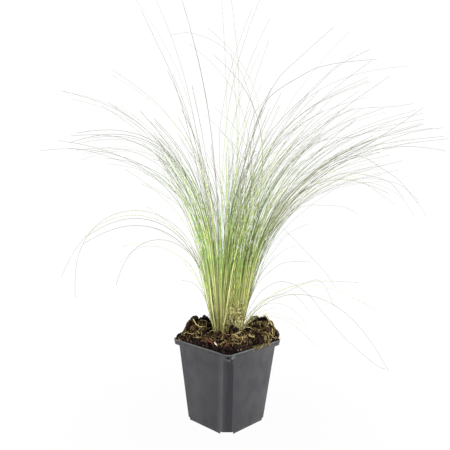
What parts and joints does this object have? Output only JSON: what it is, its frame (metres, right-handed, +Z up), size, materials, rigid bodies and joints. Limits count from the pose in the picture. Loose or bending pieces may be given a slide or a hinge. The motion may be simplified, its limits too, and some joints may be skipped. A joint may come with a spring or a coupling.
{
  "type": "mexican feather grass in a nursery pot",
  "caption": "Fine-bladed ornamental grass, two close clumps arching out like a fountain from peat soil in a square tapered nursery pot with a lipped rim and strips down its corners.",
  "frame": {"origin": "the pot's vertical axis at the underside of its floor", "axes": "+Z up along the pot's axis; X and Y square to the pot's sides; the plant's front looks out over the corner between +X and -Y"},
  "size_m": [0.3343, 0.3643, 0.5017],
  "materials": {
    "pot_plastic": "matt black moulded plastic, faintly scuffed",
    "peat": null,
    "grass_blade": null
  },
  "bodies": {
    "root": {"pot": "pot_plastic", "soil": "peat", "left_spray_01": "grass_blade", "left_spray_02": "grass_blade", "left_spray_03": "grass_blade", "left_spray_04": "grass_blade", "left_spray_05": "grass_blade", "left_spray_06": "grass_blade", "left_spray_07": "grass_blade", "left_spray_08": "grass_blade", "left_spray_09": "grass_blade", "left_spray_10": "grass_blade", "left_spray_11": "grass_blade", "left_spray_12": "grass_blade", "left_spray_13": "grass_blade", "left_spray_14": "grass_blade", "left_spray_15": "grass_blade", "left_spray_16": "grass_blade", "left_spray_17": "grass_blade", "left_spray_18": "grass_blade", "right_spray_01": "grass_blade", "right_spray_02": "grass_blade", "right_spray_03": "grass_blade", "right_spray_04": "grass_blade", "right_spray_05": "grass_blade", "right_spray_06": "grass_blade", "right_spray_07": "grass_blade", "right_spray_08": "grass_blade", "right_spray_09": "grass_blade", "right_spray_10": "grass_blade", "right_spray_11": "grass_blade", "right_spray_12": "grass_blade", "right_spray_13": "grass_blade", "right_spray_14": "grass_blade", "right_spray_15": "grass_blade", "right_spray_16": "grass_blade", "right_spray_17": "grass_blade", "right_spray_18": "grass_blade", "right_spray_19": "grass_blade"}
  },
  "joints": []
}
